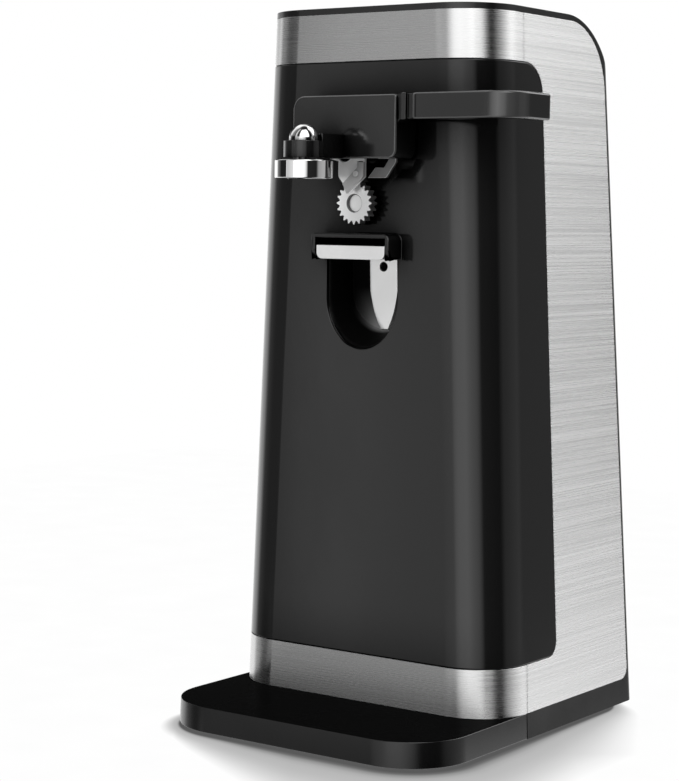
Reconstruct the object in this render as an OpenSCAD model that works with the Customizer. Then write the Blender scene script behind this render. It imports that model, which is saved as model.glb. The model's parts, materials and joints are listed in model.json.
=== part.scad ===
// Electric can opener: a tall tapered tower on a forward foot. A lever on the front carries the
// cutting unit and a swivelling lid magnet; a toothed feed wheel turns the can. Below them is a
// bottle opener. Inside, a motor drives the feed wheel through three gear stages, and a grinding
// wheel behind two slots in the back for knives.
// Millimetres. X runs to the right, Y to the back, Z up; the front face looks along -Y.
// The origin is the bottom centre of the whole opener's box, lever included.

/* [Body] */
// Overall height, standing on its feet
body_h = 240; // [225:1:290]
// Width across the bottom of the base
base_w = 110.4; // [104:0.2:134]
// Width across the top
top_w = 91.4; // [86:0.2:110]
// Depth from the front of the foot to the back of the base
base_depth = 135.4; // [128:0.2:164]
// How far the foot stands out in front of the front face
foot_reach = 39.5; // [34:0.5:46]
// How far the back leans forward between bottom and top
back_lean = 14.3; // [6:0.1:17]
// Radius of the upright corners at the front
corner_r = 19; // [12:0.5:22]
// Radius of the upright corners at the back
back_corner_r = 5; // [3:0.5:8]
// Radius of the foot's front corners
foot_corner_r = 22; // [12:0.5:26]
// Radius where the top turns down into the back, seen from the side
crown_r = 30.5; // [20:0.5:36]
// Height of the base
base_h = 8.5; // [7:0.5:11]
// Height of the rubber pads below the base
stand_h = 1; // [0.8:0.1:2]

/* [Skin] */
// Thickness of the brushed steel skins
steel_t = 0.6; // [0.4:0.1:1]
// Height of the lower steel band
lower_band_h = 16.3; // [12:0.1:20]
// Height of the upper steel band
upper_band_h = 15.9; // [12:0.1:20]
// Height of the black rim above the steel
rim_h = 2; // [1.5:0.1:3]
// Width of the black rim behind the steel
rim_back = 5; // [5:0.1:8]
// Radius of the steel side panel's upper back corner
side_crown_r = 23; // [16:0.5:26]
// How far the seam between band and side panel lies behind the front face, at the top
seam_back = 23.6; // [20:0.1:28]
// Thickness of the front panel
panel_t = 2.2; // [1.8:0.1:3]
// How far the front panel wraps along the sides, at its top
panel_wrap = 35; // [30:0.5:42]
// Radius of the front panel's upper back corners
panel_crown_r = 10.5; // [6:0.5:14]
// Radius of the front panel's lower back corners
panel_heel_r = 5; // [3:0.5:8]
// How far the housing's inner face lies inside the outer skin
shell_t = 3.9; // [3.6:0.1:5]
// Gap between neighbouring skins
skin_gap = 0.25; // [0.1:0.05:0.3]

/* [Feed wheel and gears] */
// Height of the feed wheel's axis
feed_z = 175.9; // [165:0.1:182]
// Radius over the feed wheel's teeth
feed_r = 7; // [6:0.05:7.5]
// Number of teeth on the feed wheel
feed_teeth = 20; // [16:1:26]
// Depth of the feed wheel's teeth
feed_tooth_h = 1.1; // [0.8:0.1:1.4]
// Thickness of the feed wheel
feed_t = 3.3; // [2.5:0.1:4]
// How far the feed wheel's face stands in front of the front face
feed_out = 5; // [4.7:0.1:5.3]
// Radius of the drive shaft where the feed wheel sits
axle_r = 2.75; // [2:0.05:3]
// Radius of the drive shaft in its bush
drive_shaft_r = 3.5; // [3:0.1:4]
// Tooth size (module) of the last gear stage
last_module = 1; // [0.9:0.05:1.1]
// Tooth size (module) of the first two gear stages
fine_module = 0.8; // [0.7:0.05:0.9]
// Teeth of the gear on the drive shaft
drive_teeth = 48; // [40:1:50]
// Teeth of the second gear's large wheel
second_teeth = 44; // [36:1:46]
// Teeth of the first gear's large wheel
first_teeth = 40; // [32:1:42]
// Teeth of every pinion
pinion_teeth = 10; // [9:1:12]
// Radius of the two fixed gear pins
gear_pin_r = 2; // [1.5:0.1:2.5]
// Radial play of every turning fit
play = 0.05; // [0.03:0.01:0.1]

/* [Lever] */
// Height of the lever's pivot
pivot_z = 200.4; // [196:0.1:204]
// How far the pivot lies to the left of the middle
pivot_left = 13; // [11:0.5:14.5]
// Width of the lever's plate
plate_w = 40.8; // [38:0.2:42]
// How far the plate's middle lies to the right of the body's middle
plate_right = 0.5; // [0:0.1:1]
// Height of the lever's plate
plate_h = 20.4; // [18:0.2:24]
// How far the plate stands in front of the front face
plate_out = 12.4; // [11.5:0.1:14]
// Height of the plate's underside
plate_z = 190.2; // [186:0.1:194]
// Wall of the lever's hollow plate
lever_wall = 2.2; // [1.8:0.1:3]
// How far the handle reaches to the right of the middle
lever_reach = 64; // [58:0.5:70]
// Height of the handle bar
handle_h = 8.4; // [7:0.1:11]
// Front-to-back size of the handle bar
handle_t = 8; // [6:0.1:9]
// Width of the handle's return along the right side
return_t = 6; // [5:0.1:8]
// Length of the handle's return, from the front of the bar
return_l = 23.6; // [20:0.1:34]
// Radius of the handle's outer corner
handle_corner_r = 11; // [8:0.5:12]
// Radius of the lever's shaft
lever_shaft_r = 4; // [3:0.1:4.8]

/* [Lid magnet] */
// How far the magnet's axis lies in front of the front face
magnet_out = 26.4; // [25:0.1:30]
// How far the magnet's axis lies to the left of the middle
magnet_left = 4.8; // [2:0.1:6]
// Radius of the magnet disc
magnet_r = 9.3; // [8:0.1:11]
// Height of the magnet disc
magnet_h = 5.8; // [5:0.1:7]
// Radius of the ring that holds the magnet's stud
ring_r = 6.5; // [5.5:0.1:7.5]
// Height of the ring
ring_h = 5.3; // [4:0.1:7]
// Radius of the stud's dome
dome_r = 4.8; // [4:0.1:5.4]
// Radius of the stud's pin
stud_r = 2; // [1.6:0.1:2.1]
// Radius of the ball at the stud's lower end
ball_r = 2.5; // [2.4:0.1:2.6]

/* [Cutter] */
// Thickness of the cutting blade and the can guide
blade_t = 1.2; // [1:0.1:1.6]
// Thickness of the lid stripper
stripper_t = 0.8; // [0.6:0.1:1]
// How far the blade's tip lies above the feed wheel's axis
tip_up = 3.3; // [2.6:0.1:4]

/* [Bottle opener] */
// Half width of the bottle recess at the front
recess_r = 14.2; // [12:0.1:15]
// Height where the recess's rounded lower end begins
recess_z = 145; // [142:0.1:148]
// Height of the recess's rounded lower end
recess_round_h = 17.2; // [14:0.1:19]
// Depth of the recess at its mouth
recess_depth = 13.6; // [12:0.1:14]
// Width of the hood over the recess
hood_w = 31; // [30.5:0.1:33]
// Height of the hood's top
hood_top_z = 166.2; // [164:0.1:168]
// How far the hood stands out
hood_out = 7.4; // [6:0.1:8]
// Wall of the hood
hood_wall = 1.7; // [1.2:0.1:2]
// Height of the steel lip
lip_h = 4.5; // [3:0.1:5]

/* [Motor and sharpener] */
// Height of the motor's axis
motor_z = 126; // [124:0.5:128]
// Radius of the rotor
rotor_r = 12; // [10:0.5:13]
// Thickness of the motor's steel stack
stack_t = 21; // [16:0.5:22]
// Radius of the grinding wheel
wheel_r = 10; // [8:0.5:11]
// Width of the knife guide on the back
guide_w = 32; // [28:1:36]
// Height of the knife guide on the back
guide_h = 30; // [26:1:34]
// How far each knife slot lies from the middle
slot_x = 7; // [6:0.5:8]

/* [Hidden] */

$fn = 64;
e = 0.01;              // overshoot of a cut past the face it opens
far = 300;             // longer than anything on the opener
corner_steps = 16;     // facets in each upright front corner
back_steps = 6;        // facets in each upright back corner
arc_steps = 12;        // facets in a rounded corner of a flat outline
crown_steps = 24;      // facets where the top turns down into the back

// Heights and depths that the parts share
mid_x = -(lever_reach - base_w / 2) / 2;
foot_y = -base_depth / 2;
face_y = foot_y + foot_reach;
base_z = stand_h + base_h;
steel_top_z = body_h - rim_h;
panel_z0 = base_z + lower_band_h;
panel_z1 = steel_top_z - upper_band_h;
seam_y = face_y + seam_back;
seam_lean = 3.5;       // how far the seam runs forward between top and bottom
seam_base_y = seam_y - seam_lean;
inner = shell_t;
skin_in = steel_t + 0.1;
fit = 0.02;             // radial room of a piece pressed on a shaft

// Feed wheel and gear train
feed_y = face_y - feed_out;
frame_t = 2;
front_frame_y = face_y + recess_depth + 4.6;
gear_y = front_frame_y + frame_t + 1;
gear_w = 5.5;
fine_w = 4.5;
fine_y = gear_y + gear_w + 1;
first_y = fine_y + fine_w + 1;
rear_frame_y = first_y + fine_w + 2.5;
last_distance = (drive_teeth + pinion_teeth) / 2 * last_module;
second_distance = (second_teeth + pinion_teeth) / 2 * fine_module;
first_distance = (first_teeth + pinion_teeth) / 2 * fine_module;
second_pos = [0, feed_z - last_distance];
motor_pos = [0, motor_z];
first_pos = meeting(second_pos, second_distance, motor_pos, first_distance);
second_turn = bearing_of(second_pos, first_pos);
first_turn = bearing_of(first_pos, motor_pos);
motor_y = rear_frame_y + frame_t;
bridge_y = motor_y + stack_t + 3;
fan_y = bridge_y + frame_t + 1;
wheel_y = back_y(motor_z) - 7.5;
motor_shaft_r = 2;

// Frame plates
frame_w = 74;
frame_z0 = motor_z - 34;
frame_z1 = feed_z + 44;
boss_z0 = frame_z0 + 6;
boss_z1 = feed_z + 14;
boss_x = frame_w / 2 - 5;
window_w = 64;         // front opening of the housing, behind the panel
pillar_x = 27;

// Lever, magnet and cutter
pivot = [-pivot_left, pivot_z];
plate_y = face_y - plate_out;
lever_gap = 0.8;
plate_x0 = plate_right - plate_w / 2;
plate_x1 = plate_right + plate_w / 2;
plate_top = plate_z + plate_h;
handle_z = plate_top - handle_h + 0.3;
neck_w = 4.8;
carrier_t = 1.7;
carrier_y = plate_y + lever_wall + 0.1;
blade_y = carrier_y + carrier_t;
cam_y0 = face_y + 8.2;
cam_y1 = front_frame_y - 1;
magnet_pos = [-magnet_left, face_y - magnet_out];
ring_z = plate_z - 0.1;
disc_z1 = ring_z - 0.8;
disc_z0 = disc_z1 - magnet_h;
ball_z = disc_z1 - 1.5;
tip_z = feed_z + tip_up;

// Bottle opener
lip_z = recess_z + 12.6;
lip_y = face_y - hood_out + 0.4;
lip_t = 1.5;
hood_z = lip_z + 0.4;   // lower end of the hood's side walls
recess_lean = 2.5;     // the recess's back wall leans back towards its lower end, degrees
tongue_t = 1;

// Micro switch beside the lever's cam
switch_x = -pivot_left - 13;
switch_z = pivot_z + 9;
switch_y = front_frame_y - 6.5;

// ---- Geometry helpers ----

function half_w(z) = base_w / 2 + (top_w - base_w) / 2 * (z - stand_h) / (body_h - stand_h);
function back_y(z) = base_depth / 2 - back_lean * (z - stand_h) / (body_h - stand_h);
function unit(v) = v / norm(v);
function bearing_of(a, b) = atan2(b[1] - a[1], b[0] - a[0]);

// The point at distance ra from a and rb from b, on the right-hand side
function meeting(a, ra, b, rb) =
    let (d = norm(b - a), u = (b - a) / d, along = (ra * ra - rb * rb + d * d) / (2 * d))
    a + u * along + [-u[1], u[0]] * sqrt(ra * ra - along * along);

// Points of the arc that rounds the corner at b between a and c
function corner(a, b, c, r, steps = arc_steps) =
    r == 0 ? [b] :
    let (u = unit(a - b), w = unit(c - b), half = acos(u * w) / 2,
        o = b + unit(u + w) * r / sin(half),
        p = b + u * r / tan(half) - o, q = b + w * r / tan(half) - o,
        from = atan2(p[1], p[0]), turn = atan2(p[0] * q[1] - p[1] * q[0], p * q))
    [for (i = [0 : steps]) o + r * [cos(from + turn * i / steps), sin(from + turn * i / steps)]];

// An outline with its corners rounded by the radii in r
function rounded(pts, r, steps = arc_steps) =
    let (n = len(pts))
    [for (i = [0 : n - 1])
        each corner(pts[(i + n - 1) % n], pts[i], pts[(i + 1) % n], r[i], steps)];

// One level of the body's plan, drawn in by d: four rounded corners, anticlockwise
function level(z, d, front, rf) =
    let (w = half_w(z) - d, y0 = front + d, y1 = back_y(z) - d,
        rb = max(back_corner_r - d, 1), r = max(rf - d, 1))
    concat(
        [for (i = [0 : corner_steps]) let (a = 180 + 90 * i / corner_steps)
            [-w + r + r * cos(a), y0 + r + r * sin(a), z]],
        [for (i = [0 : corner_steps]) let (a = 270 + 90 * i / corner_steps)
            [w - r + r * cos(a), y0 + r + r * sin(a), z]],
        [for (i = [0 : back_steps]) let (a = 90 * i / back_steps)
            [w - rb + rb * cos(a), y1 - rb + rb * sin(a), z]],
        [for (i = [0 : back_steps]) let (a = 90 + 90 * i / back_steps)
            [-w + rb + rb * cos(a), y1 - rb + rb * sin(a), z]]);

// The body's tapered column between two heights, drawn in by d
module column(z0, z1, d = 0, front = face_y, rf = corner_r) {
    lower = level(z0, d, front, rf);
    upper = level(z1, d, front, rf);
    n = len(lower);
    polyhedron(points = concat(lower, upper), faces = concat(
        [[for (i = [0 : n - 1]) i]],
        [[for (i = [n - 1 : -1 : 0]) n + i]],
        [for (i = [0 : n - 1]) [i, n + i, n + (i + 1) % n, (i + 1) % n]]));
}

// A side outline (Y, Z) carried across the whole width
module across(outline) {
    rotate([90, 0, 90]) linear_extrude(far, center = true) polygon(outline);
}

// A front outline (X, Z) carried from y0 back to y1
module through(y0, y1) {
    translate([0, y1, 0]) rotate([90, 0, 0]) linear_extrude(y1 - y0) children();
}

// A round bar along Y
module rod(pos, r, y0, y1) {
    translate([pos[0], y1, pos[1]]) rotate([90, 0, 0]) cylinder(r = r, h = y1 - y0);
}

module on_body() {
    translate([mid_x, 0, 0]) children();
}

// Side outlines: the whole body, the steel, and the front panel
function body_side(d) = rounded(
    [[-far, 0], [back_y(0) - d + (d > 0 ? 0 : e), 0], [back_y(body_h - d) - d + (d > 0 ? 0 : e),
        body_h - d], [-far, body_h - d]], [0, 0, crown_r - d, 0], crown_steps);
steel_side = rounded(
    [[-far, base_z], [back_y(base_z) - rim_back, base_z],
        [back_y(steel_top_z) - rim_back, steel_top_z], [-far, steel_top_z]],
    [0, 4, side_crown_r, 0], crown_steps);
function panel_side(d) = rounded(
    [[-far, panel_z0 + d], [face_y + panel_wrap + 5 - d, panel_z0 + d],
        [face_y + panel_wrap - d, panel_z1 - d], [-far, panel_z1 - d]],
    [0, panel_heel_r, panel_crown_r, 0]);
// The seam between the bands and the side panels, and all that lies in front of it
function seam_front(d) = [[-far, 0], [seam_base_y + d, 0], [seam_y + d, body_h], [-far, body_h]];

// ---- Housing and skins ----

module steel_skin() {
    intersection() {
        difference() {
            column(base_z - 5, body_h);
            column(base_z - 6, body_h + 1, steel_t);
        }
        across(steel_side);
    }
}

module rear_housing() {
    color([0.05, 0.05, 0.055]) on_body() {
        difference() {
            union() {
                difference() {
                    intersection() {
                        column(stand_h, body_h);
                        across(body_side(0));
                    }
                    // seat of the steel skins
                    intersection() {
                        difference() {
                            translate([-far / 2, -far / 2, base_z])
                                cube([far, far, steel_top_z - base_z]);
                            column(0, body_h + 1, skin_in);
                        }
                        across(steel_side);
                    }
                    // seat of the front panel
                    intersection() {
                        difference() {
                            translate([-far / 2, -far / 2, 0]) cube([far, far, body_h]);
                            column(0, body_h + 1, panel_t + 0.1);
                        }
                        across(panel_side(-skin_gap));
                    }
                    // window behind the front panel
                    translate([-window_w / 2, -far, panel_z0 + 6])
                        cube([window_w, far, panel_z1 - panel_z0 - 12]);
                    // inside
                    intersection() {
                        column(0, body_h, inner);
                        across(body_side(inner));
                    }
                }
                frame_ledges();
                cover_bosses(seam_base_y, far);
            }
            // the base in front of the seam belongs to the foot
            translate([-far / 2, -far, 0]) cube([far, far + seam_base_y + skin_gap, base_z]);
            for (x = [-boss_x, boss_x], z = [boss_z0, boss_z1])
                rod([x, z], 1.5, front_frame_y - 1, front_frame_y + 12);
            guide_window();
            gland_seat();
            vents();
        }
    }
}

// Ledges on the side walls that the front frame plate is screwed to
module frame_ledges() {
    intersection() {
        for (s = [-1, 1], z = [boss_z0, boss_z1])
            translate([s > 0 ? boss_x - 4 : -far / 2, front_frame_y + frame_t, z - 5])
                cube([far / 2 - boss_x + 4, 9, 10]);
        column(base_z, body_h, inner - 0.8);
    }
}

// Bosses that the bottom cover is screwed to, between two depths
module cover_bosses(y0, y1) {
    for (p = cover_screw_pos())
        if (p[1] > y0 && p[1] < y1)
            translate([p[0], p[1], cover_top()])
                difference() {
                    union() {
                        cylinder(r = 3.4, h = base_z - cover_top());
                        if (p[1] > seam_base_y)
                            translate([p[0] > 0 ? 0 : -9, -1.2, 0]) cube([9, 2.4, base_z]);
                    }
                    translate([0, 0, -e]) cylinder(r = 1.3, h = base_h - 3);
                }
}

function cover_top() = stand_h + 2;
function cover_screw_pos() = [
    for (s = [-1, 1]) each [[s * 36, foot_y + 16], [s * 36, seam_base_y - 6],
        [s * (half_w(base_z) - inner - 6), base_depth / 2 - 16]]];

// Louvres low on the back that cool the motor
module vents() {
    for (i = [0 : 5])
        translate([-18, back_y(40) - 8, 34 + 6 * i]) cube([36, 20, 2.2]);
}

module guide_window() {
    translate([-guide_w / 2 - 0.1, back_y(motor_z) - 10, motor_z - guide_h / 2 - 0.1])
        cube([guide_w + 0.2, 20, guide_h + 0.2]);
}

gland_pos = [28, 24];
gland_flange_y = base_depth / 2 - 2.7;
module gland_seat() {
    rod(gland_pos, 7, gland_flange_y, far / 2);
    rod(gland_pos, 5.5, gland_flange_y - 12, far / 2);
}

module front_panel() {
    color([0.06, 0.06, 0.065]) on_body() {
        difference() {
            union() {
                intersection() {
                    difference() {
                        column(panel_z0 - 5, panel_z1 + 5);
                        column(panel_z0 - 6, panel_z1 + 6, panel_t);
                    }
                    across(panel_side(0));
                }
                hood();
                recess_cup();
                rod(pivot, 8, face_y + e, face_y + 7);
                rod([0, feed_z], 8.5, face_y + e, face_y + 7);
            }
            recess_cut();
            rod(pivot, 5.5 + 0.02, face_y - 1, face_y + 8);
            rod([0, feed_z], 5.5 + 0.02, face_y - 1, face_y + 8);
        }
    }
}

// Front outline of the recess: straight above, a half ellipse of height h below
module recess_outline(r, h, z, top) {
    polygon(concat([for (i = [0 : 40]) let (a = 180 + 4.5 * i) [r * cos(a), z + h * sin(a)]],
        [[r, top], [-r, top]]));
}

recess_top = hood_top_z - hood_wall;
// Sets the recess's leaning back wall, and what lies on it, at its depth
module on_recess_back(depth) {
    translate([0, face_y + depth, lip_z]) rotate([recess_lean, 0, 0]) translate([0, 0, -lip_z])
        children();
}

// The hollow between a front outline and a smaller, leaning one at its back
module recess_form(grow, depth) {
    hull() {
        through(face_y + 0.2, face_y + 0.4)
            recess_outline(recess_r + grow, recess_round_h + grow, recess_z, lip_z + grow);
        on_recess_back(depth) through(-0.2, 0)
            recess_outline(recess_r - 1.1 + grow, recess_round_h - 4.9 + grow, recess_z + 1.1,
                recess_top + grow);
    }
}

module recess_cup() {
    recess_form(1.5, recess_depth + 1.5);
}

module recess_cut() {
    recess_form(0, recess_depth);
    through(face_y - 1, face_y + 1) recess_outline(recess_r, recess_round_h, recess_z, lip_z);
    // space for the cap, up inside the hood, open in front and below
    translate([-hood_w / 2 + hood_wall, face_y - hood_out - 1, hood_z - 1])
        cube([hood_w - 2 * hood_wall, hood_out + 4, recess_top - hood_z + 1]);
}

// Hood over the recess: a top and two side walls, rounded off at their lower front corners
module hood() {
    intersection() {
        through(face_y - hood_out, face_y + 1)
            polygon(rounded([[-hood_w / 2, hood_z], [hood_w / 2, hood_z],
                [hood_w / 2, hood_top_z], [-hood_w / 2, hood_top_z]], [0, 0, 2.6, 1.2]));
        across(rounded([[face_y - hood_out, hood_z], [far, hood_z], [far, hood_top_z + 1],
            [face_y - hood_out, hood_top_z + 1]], [3, 0, 0, 0]));
    }
}

module top_band() {
    color([0.72, 0.72, 0.73]) on_body() intersection() {
        steel_skin();
        across(seam_front(0));
        translate([-far / 2, -far / 2, panel_z1 + skin_gap]) cube([far, far, far]);
    }
}

module bottom_band() {
    color([0.72, 0.72, 0.73]) on_body() intersection() {
        steel_skin();
        across(seam_front(0));
        translate([-far / 2, -far / 2, 0]) cube([far, far, panel_z0 - skin_gap]);
    }
}

module side_panel(s) {
    color([0.75, 0.75, 0.76]) on_body() difference() {
        steel_skin();
        across(seam_front(skin_gap));
        across(panel_side(-skin_gap));
        translate([s > 0 ? -far : 0, -far / 2, 0]) cube([far, far, far]);
    }
}
module side_panel_left() { side_panel(-1); }
module side_panel_right() { side_panel(1); }

module base_foot() {
    color([0.05, 0.05, 0.055]) on_body() {
        difference() {
            union() {
                difference() {
                    column(stand_h, base_z, 0, foot_y, foot_corner_r);
                    column(stand_h - 1, base_z - 2.2, inner, foot_y, foot_corner_r);
                }
                intersection() {
                    cover_bosses(-far, seam_base_y);
                    column(stand_h, base_z, 1, foot_y, foot_corner_r);
                }
            }
            translate([-far / 2, seam_base_y, 0]) cube([far, far, far]);
        }
    }
}

module bottom_cover() {
    color([0.08, 0.08, 0.085]) on_body() {
        difference() {
            column(stand_h, cover_top(), inner + 0.1, foot_y, foot_corner_r);
            for (p = cover_screw_pos())
                translate([p[0], p[1], 0]) {
                    cylinder(r = 1.6, h = 10);
                    cylinder(r = 3, h = stand_h + 0.8);
                }
            for (p = foot_pad_pos())
                translate([p[0], p[1], 0]) cylinder(r = pad_r + 0.1, h = stand_h + 1);
            for (i = [-4 : 4])
                translate([6 * i - 1, 12, 0]) cube([2, 26, 10]);
        }
    }
}

pad_r = 6;
function foot_pad_pos() = [
    for (y = [foot_y + 30, base_depth / 2 - 30], s = [-1, 1]) [s * (base_w / 2 - 14), y]];
module foot_pad(i) {
    p = foot_pad_pos()[i];
    color([0.12, 0.12, 0.12]) on_body() translate([p[0], p[1], 0]) rotate_extrude()
        polygon([[0, 0], [pad_r - 0.8, 0], [pad_r, 0.8], [pad_r, stand_h + 1], [0, stand_h + 1]]);
}
module foot_pad_1() { foot_pad(0); }
module foot_pad_2() { foot_pad(1); }
module foot_pad_3() { foot_pad(2); }
module foot_pad_4() { foot_pad(3); }

// Bushing round the empty cord inlet
module cord_gland() {
    color([0.05, 0.05, 0.05]) on_body() {
        difference() {
            union() {
                rod(gland_pos, 6.8, gland_flange_y + 0.05, gland_flange_y + 1.8);
                rod(gland_pos, 5.4, gland_flange_y - 7, gland_flange_y + 1);
                rod(gland_pos, 6.4, gland_flange_y - 7, gland_flange_y - 5.4);
            }
            rod(gland_pos, 3.6, gland_flange_y - 8, gland_flange_y + 3);
        }
    }
}

// ---- Frame and gear train ----

module frame_plate(y0) {
    difference() {
        through(y0, y0 + frame_t)
            polygon(rounded([[-frame_w / 2, frame_z0], [frame_w / 2, frame_z0],
                [frame_w / 2, frame_z1], [-frame_w / 2, frame_z1]], [5, 5, 5, 5]));
        children();
    }
}

pillar_pos = [for (x = [-pillar_x, pillar_x], z = [motor_z - 16, feed_z + 28]) [x, z]];

module front_frame() {
    color([0.6, 0.61, 0.62]) on_body() frame_plate(front_frame_y) {
        rod([0, feed_z], 5.5 + 0.02, -far, far);
        rod(pivot, lever_shaft_r - 1 + play, -far, far);
        rod(second_pos, gear_pin_r + 0.02, -far, far);
        rod(first_pos, gear_pin_r + 0.02, -far, far);
        for (p = pillar_pos) rod(p, 1.5, -far, far);
        for (x = [-boss_x, boss_x], z = [boss_z0, boss_z1]) rod([x, z], 1.8, -far, far);
        for (s = [-1, 1]) rod([switch_x + 6.5 * s, switch_z + 5], 1.1, -far, far);
    }
}

module rear_frame() {
    color([0.6, 0.61, 0.62]) on_body() difference() {
        through(rear_frame_y, rear_frame_y + frame_t)
            polygon(rounded([[-32, motor_z - 22], [-coil_notch, motor_z - 22],
                [-coil_notch, core_z + 10.4], [coil_notch, core_z + 10.4],
                [coil_notch, motor_z - 22], [32, motor_z - 22],
                [32, feed_z + 34], [-32, feed_z + 34]], [5, 0, 0, 0, 0, 5, 5, 5]));
        rod([0, feed_z], drive_shaft_r - 0.5 + play, -far, far);
        rod(second_pos, gear_pin_r + 0.02, -far, far);
        rod(first_pos, gear_pin_r + 0.02, -far, far);
        rod(motor_pos, motor_shaft_r + play, -far, far);
        for (p = pillar_pos) rod(p, 1.5, -far, far);
        for (p = motor_bolt_pos) rod(p, 1.6, -far, far);
    }
}

module frame_pillars() {
    color([0.55, 0.56, 0.57]) on_body() for (p = pillar_pos) {
        rod(p, 3, front_frame_y + frame_t, rear_frame_y);
        rod(p, 1.48, front_frame_y + 0.2, rear_frame_y + frame_t - 0.2);
    }
}

module bush(pos, bore, y0, y1, flange_y) {
    difference() {
        union() {
            rod(pos, 5.5, y0, y1);
            rod(pos, 7, flange_y - 1.2, flange_y);
        }
        rod(pos, bore, y0 - 1, y1 + 1);
    }
}

module drive_bush() {
    color([0.06, 0.06, 0.065]) on_body()
        bush([0, feed_z], drive_shaft_r + play, face_y, front_frame_y + frame_t, front_frame_y);
}

module lever_bush() {
    color([0.72, 0.58, 0.3]) on_body()
        bush(pivot, lever_shaft_r + play, face_y + 0.2, face_y + 7.8, cam_y0);
}

module second_gear_pin() {
    color([0.7, 0.7, 0.72]) on_body()
        rod(second_pos, gear_pin_r, front_frame_y, rear_frame_y + frame_t);
}
module first_gear_pin() {
    color([0.7, 0.7, 0.72]) on_body()
        rod(first_pos, gear_pin_r, front_frame_y, rear_frame_y + frame_t);
}

// Outline of a spur gear with one tooth centred on the angle turn
function gear_outline(teeth, m, turn) =
    let (r = teeth * m / 2, root = r - 1.2 * m, tip = r + 0.9 * m, step = 360 / teeth)
    [for (i = [0 : teeth - 1]) let (a = turn + i * step) each [
        root * [cos(a - 0.33 * step), sin(a - 0.33 * step)],
        tip * [cos(a - 0.09 * step), sin(a - 0.09 * step)],
        tip * [cos(a + 0.09 * step), sin(a + 0.09 * step)],
        root * [cos(a + 0.33 * step), sin(a + 0.33 * step)]]];

module gear(pos, teeth, m, turn, y0, y1) {
    translate([pos[0], 0, pos[1]]) through(y0, y1) polygon(gear_outline(teeth, m, turn));
}

module feed_wheel() {
    tip = feed_r;
    root = feed_r - feed_tooth_h;
    step = 360 / feed_teeth;
    outline = [for (i = [0 : feed_teeth - 1]) let (a = 90 + i * step) each [
        root * [cos(a - 0.4 * step), sin(a - 0.4 * step)],
        tip * [cos(a - 0.1 * step), sin(a - 0.1 * step)],
        tip * [cos(a + 0.1 * step), sin(a + 0.1 * step)],
        root * [cos(a + 0.4 * step), sin(a + 0.4 * step)]]];
    color([0.7, 0.7, 0.7]) on_body() difference() {
        translate([0, 0, feed_z]) through(feed_y, feed_y + feed_t) polygon(outline);
        rod([0, feed_z], axle_r + fit, feed_y - 1, feed_y + feed_t + 1);
    }
}

module drive_shaft() {
    color([0.68, 0.68, 0.7]) on_body() {
        rod([0, feed_z], axle_r, feed_y + 1.3, feed_y + feed_t);
        rod([0, feed_z], drive_shaft_r, feed_y + feed_t, gear_y + gear_w + 0.6);
        rod([0, feed_z], drive_shaft_r - 0.5, gear_y + gear_w, rear_frame_y + frame_t);
    }
}

module drive_gear() {
    color([0.9, 0.88, 0.8]) on_body() difference() {
        union() {
            difference() {
                gear([0, feed_z], drive_teeth, last_module, 0, gear_y, gear_y + gear_w);
                for (i = [0 : 5])
                    rod([0, feed_z] + 14 * [cos(60 * i), sin(60 * i)], 4.5, gear_y - 1,
                        gear_y + gear_w + 1);
            }
            rod([0, feed_z], 6, gear_y - 0.7, gear_y + gear_w);
        }
        rod([0, feed_z], drive_shaft_r + fit, gear_y - 2, gear_y + gear_w + 2);
    }
}

module second_gear() {
    color([0.85, 0.85, 0.82]) on_body() difference() {
        union() {
            gear(second_pos, pinion_teeth, last_module, 0, gear_y - 0.6, fine_y);
            gear(second_pos, second_teeth, fine_module, second_turn, fine_y, fine_y + fine_w);
            rod(second_pos, 4, fine_y, rear_frame_y - 0.3);
        }
        rod(second_pos, gear_pin_r + play, -far, far);
    }
}

module first_gear() {
    color([0.8, 0.8, 0.78]) on_body() difference() {
        union() {
            rod(first_pos, 3.2, front_frame_y + frame_t + 0.3, fine_y);
            gear(first_pos, pinion_teeth, fine_module, second_turn + 180 + 180 / pinion_teeth,
                fine_y - 0.3, first_y);
            gear(first_pos, first_teeth, fine_module, first_turn, first_y, first_y + fine_w);
            rod(first_pos, 4, first_y, rear_frame_y - 0.3);
        }
        rod(first_pos, gear_pin_r + play, -far, far);
    }
}

// ---- Motor, fan and sharpener ----

motor_bolt_pos = [[-23, motor_z + 14], [23, motor_z + 14]];
core_z = motor_z - 27;
coil_notch = 19.5;

module motor_stack() {
    color([0.35, 0.36, 0.38]) on_body() difference() {
        through(motor_y, motor_y + stack_t)
            polygon(rounded([[-29, core_z - 7], [29, core_z - 7], [29, motor_z + 20],
                [-29, motor_z + 20]], [2, 2, 5, 5]));
        rod(motor_pos, rotor_r + 0.5, motor_y - 1, motor_y + stack_t + 1);
        for (s = [-1, 1])
            translate([s > 0 ? 8 : -19, motor_y - 1, core_z - 7 - e])
                cube([11, stack_t + 2, 18]);
        for (p = motor_bolt_pos) rod(p, 1.6, motor_y - 1, motor_y + stack_t + 1);
    }
}

bobbin_w = 21.4;
module coil_bobbin() {
    color([0.93, 0.92, 0.88]) on_body() difference() {
        union() {
            for (z = [core_z - 6.8, core_z + 8.4])
                translate([-18.4, motor_y - 6, z]) cube([36.8, stack_t + 12, 1.4]);
            translate([-9.6, motor_y - 1.6, core_z - 6.8])
                cube([19.2, stack_t + 3.2, 16.6]);
        }
        translate([-8.1, motor_y - 0.1, core_z - 8]) cube([16.2, stack_t + 0.2, 20]);
    }
}

module motor_coil() {
    color([0.72, 0.38, 0.2]) on_body() difference() {
        translate([-18, motor_y - 5.6, core_z - 5.3]) cube([36, stack_t + 11.2, 13.6]);
        translate([-9.7, motor_y - 1.7, core_z - 8]) cube([19.4, stack_t + 3.4, 20]);
    }
}

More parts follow.
